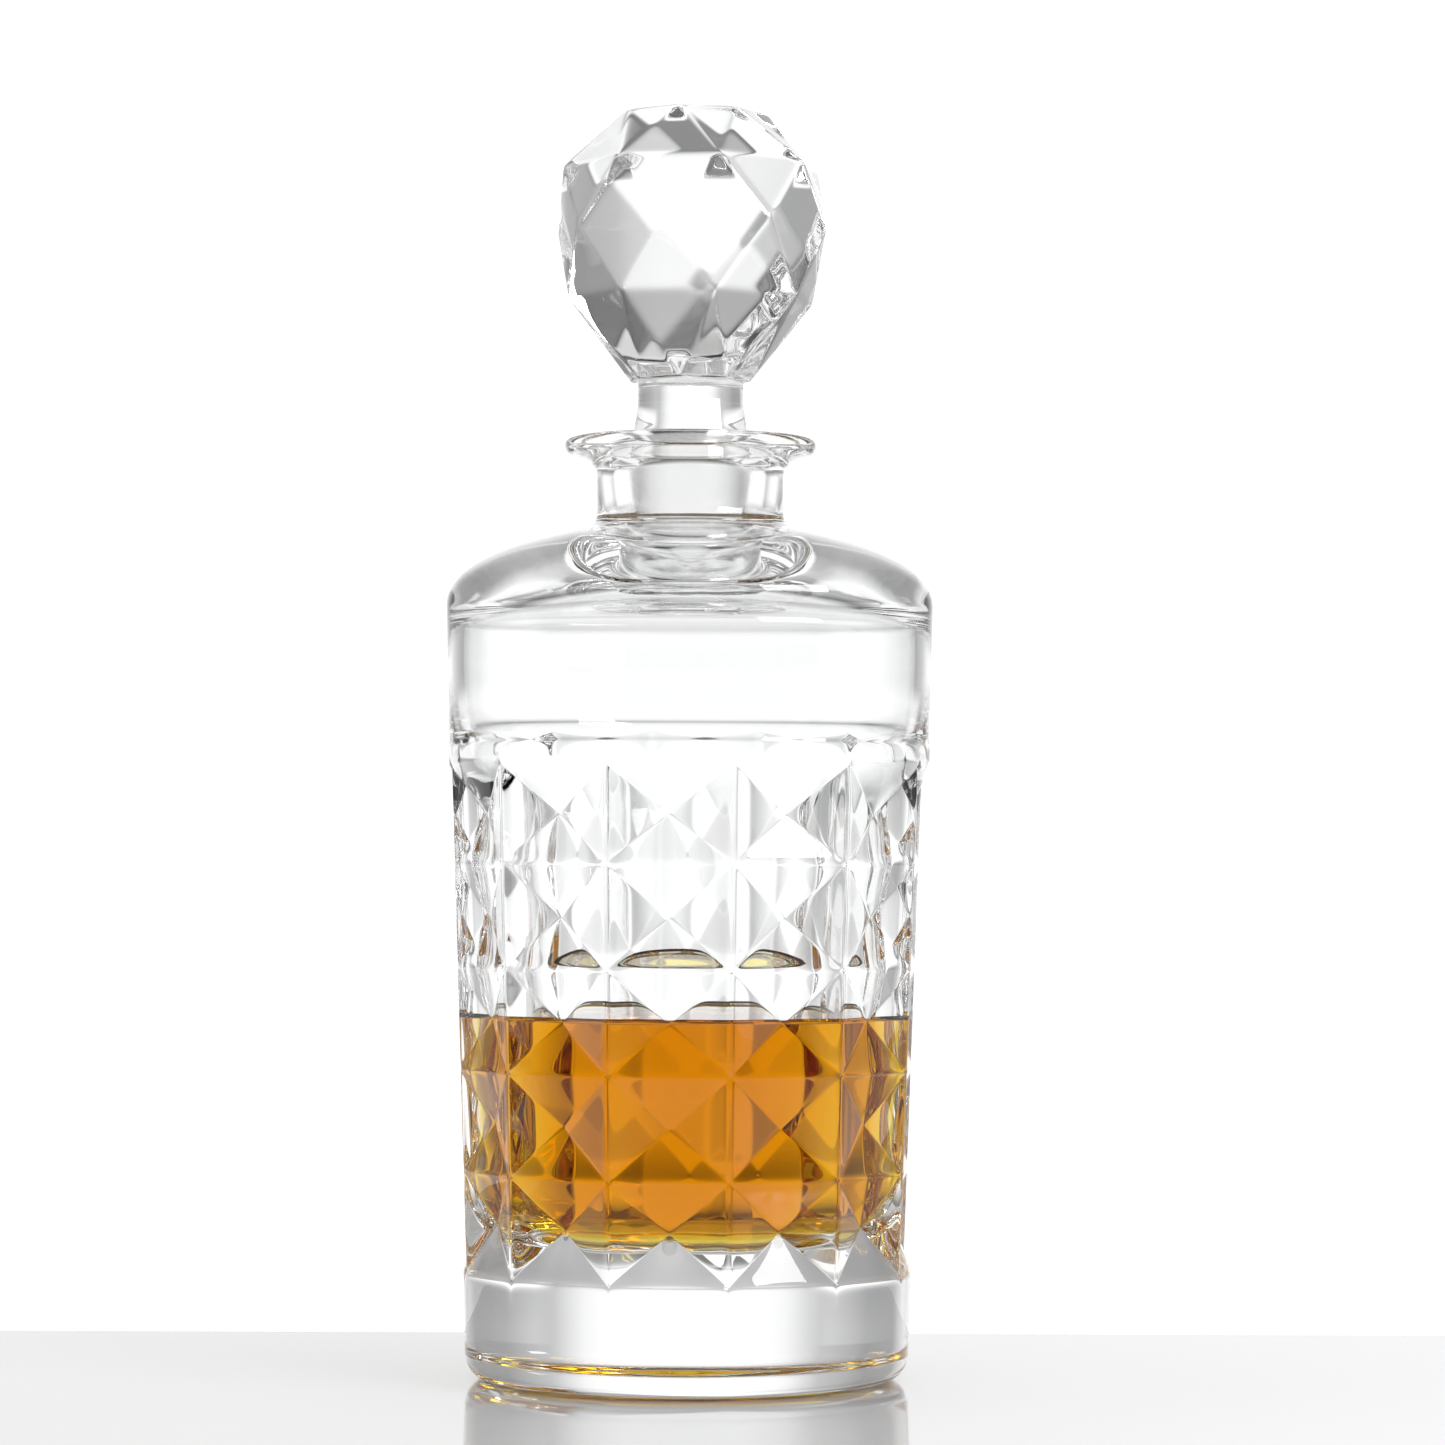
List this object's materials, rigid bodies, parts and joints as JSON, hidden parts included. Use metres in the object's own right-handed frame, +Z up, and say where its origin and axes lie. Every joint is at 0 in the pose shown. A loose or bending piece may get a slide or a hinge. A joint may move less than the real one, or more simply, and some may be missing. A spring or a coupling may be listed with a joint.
{
  "type": "cut crystal decanter",
  "caption": "Straight-sided cut glass whisky decanter with a flared lip, a faceted ball stopper that lifts out, and a part fill of whisky.",
  "frame": {"origin": "centre of the foot, on the surface that the decanter stands on", "axes": "+Z up along the bottle's axis towards the stopper; -Y through the middle of one column of cut cells"},
  "size_m": [0.1024, 0.1024, 0.2693],
  "materials": {
    "body_glass": "polished",
    "stopper_glass": "polished",
    "whisky": "gloss"
  },
  "bodies": {
    "decanter": {"decanter_body": "body_glass", "whisky": "whisky"},
    "stopper": {"stopper": "stopper_glass"}
  },
  "joints": [
    {"name": "stopper_lift", "type": "slide", "parent": "decanter", "child": "stopper", "axis": [0, 0, 1], "range_m": [0, 0.06]}
  ]
}
